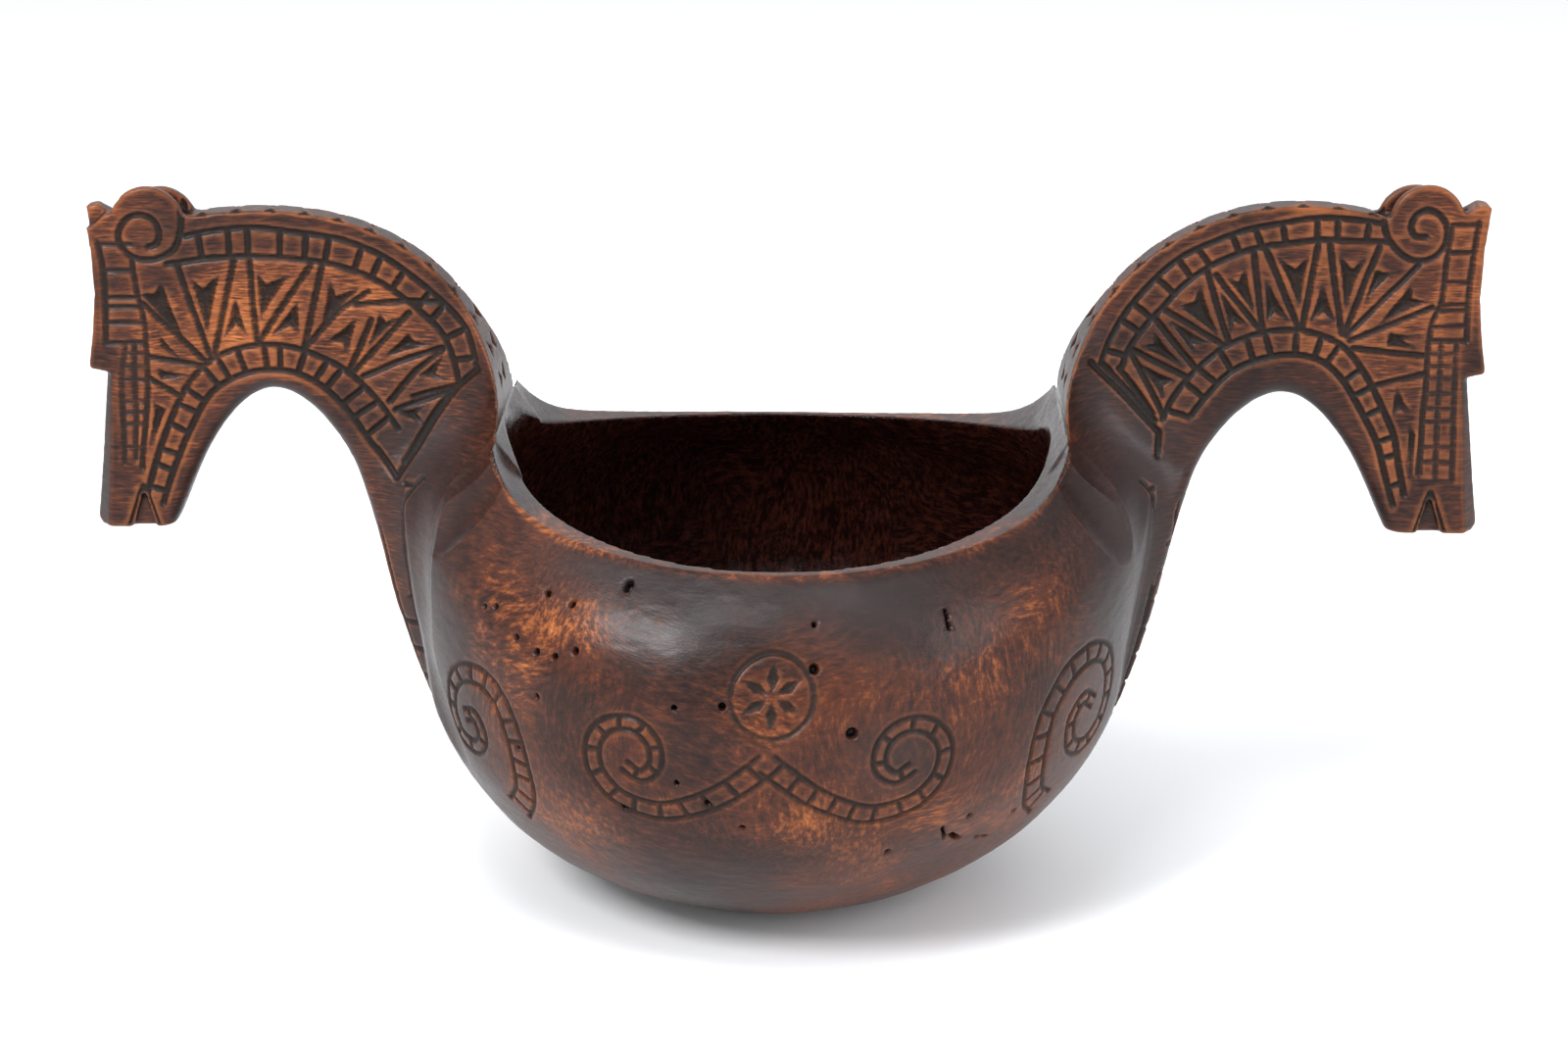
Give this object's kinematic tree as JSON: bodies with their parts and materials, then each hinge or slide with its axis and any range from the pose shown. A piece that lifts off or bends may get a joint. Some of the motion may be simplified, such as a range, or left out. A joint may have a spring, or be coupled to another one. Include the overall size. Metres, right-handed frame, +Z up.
{
  "type": "carved drinking bowl",
  "caption": "Round carved wooden drinking bowl with a saddle-shaped rim and a horse-head handle rising from each end.",
  "frame": {"origin": "on the surface that the bowl stands on, midway between the outer ends of the two heads and between the front and back of the bowl", "axes": "+X from the left head to the right head seen from the front, -Y towards the front, +Z up"},
  "size_m": [0.3338, 0.172, 0.1736],
  "materials": {
    "bowl_wood": "dark oiled burl wood, worn satin, near-black inside",
    "left_handle_wood": "dark oiled wood, worn orange-brown on the high places, chip carved",
    "right_handle_wood": "dark oiled wood, worn orange-brown on the high places, chip carved"
  },
  "bodies": {
    "root": {"bowl": "bowl_wood", "left_horse_handle": "left_handle_wood", "right_horse_handle": "right_handle_wood"}
  },
  "joints": []
}
